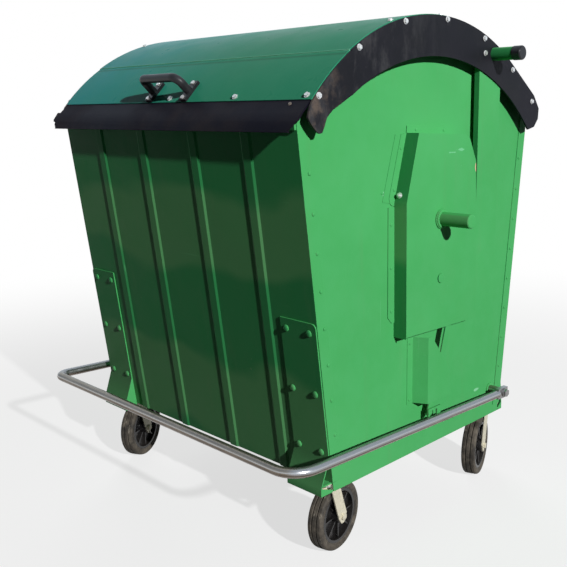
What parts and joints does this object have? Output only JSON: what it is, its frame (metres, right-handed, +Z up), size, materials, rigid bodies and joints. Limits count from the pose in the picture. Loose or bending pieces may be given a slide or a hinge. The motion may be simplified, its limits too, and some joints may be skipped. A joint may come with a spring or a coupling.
{
  "type": "wheeled waste container",
  "caption": "Large steel waste container on castors with a domed side-arm lid, lifting trunnions and a foot rail that opens the lid through link rods.",
  "frame": {"origin": "on the ground under the middle of the whole outline", "axes": "+Z up, +X along the long side through the trunnions, handle and foot rail on the -Y side"},
  "size_m": [1.382, 1.1543, 1.4813],
  "materials": {
    "green_paint": "satin green paint on sheet steel",
    "zinc": "hot-dip galvanised steel, dull grey",
    "rubber": "black sheet rubber, dusty",
    "black_plastic": "moulded black plastic",
    "rim_plastic": "moulded black nylon",
    "tyre": "worn solid rubber tyre"
  },
  "bodies": {
    "container": {"end_wall_right": "green_paint", "end_wall_left": "green_paint", "front_wall": "green_paint", "rear_wall": "green_paint", "floor_panel": "green_paint", "chassis": "green_paint", "corner_plate_fr": "green_paint", "corner_plate_fl": "green_paint", "corner_plate_rr": "green_paint", "corner_plate_rl": "green_paint", "domed_rivets": "green_paint", "small_rivets": "green_paint", "side_cover_right": "green_paint", "side_cover_left": "green_paint", "lower_cover_right": "green_paint", "lower_cover_left": "green_paint", "trunnion_right": "green_paint", "trunnion_left": "green_paint", "lid_pivot_right": "green_paint", "lid_pivot_left": "green_paint", "rail_pivot_right": "zinc", "rail_pivot_left": "zinc", "castor_plate_fr": "zinc", "castor_plate_fl": "zinc", "castor_plate_rr": "zinc", "castor_plate_rl": "zinc", "castor_bolts": "zinc"},
    "lid": {"lid_front_sheet": "green_paint", "lid_main_sheet": "green_paint", "hoop_right": "green_paint", "hoop_left": "green_paint", "arm_right": "green_paint", "arm_left": "green_paint", "lid_pin_right": "green_paint", "lid_pin_left": "green_paint", "pin_cap_right": "black_plastic", "pin_cap_left": "black_plastic", "end_band_right": "rubber", "end_band_left": "rubber", "lid_bolts": "zinc", "front_lip": "rubber", "rear_lip": "rubber", "handle": "black_plastic", "handle_bolts": "zinc"},
    "foot_rail": {"foot_rail": "zinc"},
    "rod_right": {"rod_right": "zinc"},
    "rod_left": {"rod_left": "zinc"},
    "fork_fr": {"fork_fr": "zinc"},
    "wheel_fr": {"rim_fr": "rim_plastic", "tyre_fr": "tyre"},
    "fork_fl": {"fork_fl": "zinc"},
    "wheel_fl": {"rim_fl": "rim_plastic", "tyre_fl": "tyre"},
    "fork_rr": {"fork_rr": "zinc"},
    "wheel_rr": {"rim_rr": "rim_plastic", "tyre_rr": "tyre"},
    "fork_rl": {"fork_rl": "zinc"},
    "wheel_rl": {"rim_rl": "rim_plastic", "tyre_rl": "tyre"}
  },
  "joints": [
    {"name": "lid_hinge", "type": "hinge", "parent": "container", "child": "lid", "pos_m": [0, 0.03025, 0.747], "axis": [-1, 0, 0], "range_deg": [0, 75]},
    {"name": "foot_rail_hinge", "type": "hinge", "parent": "container", "child": "foot_rail", "pos_m": [0, 0.38025, 0.308], "axis": [1, 0, 0], "range_deg": [0, 18.3]},
    {"name": "rod_right_hinge", "type": "hinge", "parent": "lid", "child": "rod_right", "pos_m": [0.576, 0.12987, 0.75572], "axis": [1, 0, 0], "range_deg": [0, 85.1]},
    {"name": "rod_left_hinge", "type": "hinge", "parent": "lid", "child": "rod_left", "pos_m": [-0.576, 0.12987, 0.75572], "axis": [1, 0, 0], "range_deg": [0, 85.1]},
    {"name": "swivel_fr", "type": "hinge", "parent": "container", "child": "fork_fr", "pos_m": [0.481, -0.35075, 0.22], "axis": [0, 0, 1], "continuous": true},
    {"name": "wheel_fr_spin", "type": "hinge", "parent": "fork_fr", "child": "wheel_fr", "pos_m": [0.47262, -0.30552, 0.1], "axis": [0.9833, 0.1822, 0], "continuous": true},
    {"name": "swivel_fl", "type": "hinge", "parent": "container", "child": "fork_fl", "pos_m": [-0.481, -0.35075, 0.22], "axis": [0, 0, 1], "continuous": true},
    {"name": "wheel_fl_spin", "type": "hinge", "parent": "fork_fl", "child": "wheel_fl", "pos_m": [-0.50117, -0.30941, 0.1], "axis": [0.8988, 0.4384, 0], "continuous": true},
    {"name": "swivel_rr", "type": "hinge", "parent": "container", "child": "fork_rr", "pos_m": [0.481, 0.41125, 0.22], "axis": [0, 0, 1], "continuous": true},
    {"name": "wheel_rr_spin", "type": "hinge", "parent": "fork_rr", "child": "wheel_rr", "pos_m": [0.49673, 0.36802, 0.1], "axis": [-0.9397, -0.342, 0], "continuous": true},
    {"name": "swivel_rl", "type": "hinge", "parent": "container", "child": "fork_rl", "pos_m": [-0.481, 0.41125, 0.22], "axis": [0, 0, 1], "continuous": true},
    {"name": "wheel_rl_spin", "type": "hinge", "parent": "fork_rl", "child": "wheel_rl", "pos_m": [-0.4874, 0.3657, 0.1], "axis": [-0.9903, 0.1392, 0], "continuous": true}
  ],
  "couplings": [
    {"joint": "foot_rail_hinge", "follows": "lid_hinge", "ratio": 0.2435},
    {"joint": "rod_right_hinge", "follows": "lid_hinge", "ratio": 1.134},
    {"joint": "rod_left_hinge", "follows": "lid_hinge", "ratio": 1.134}
  ]
}
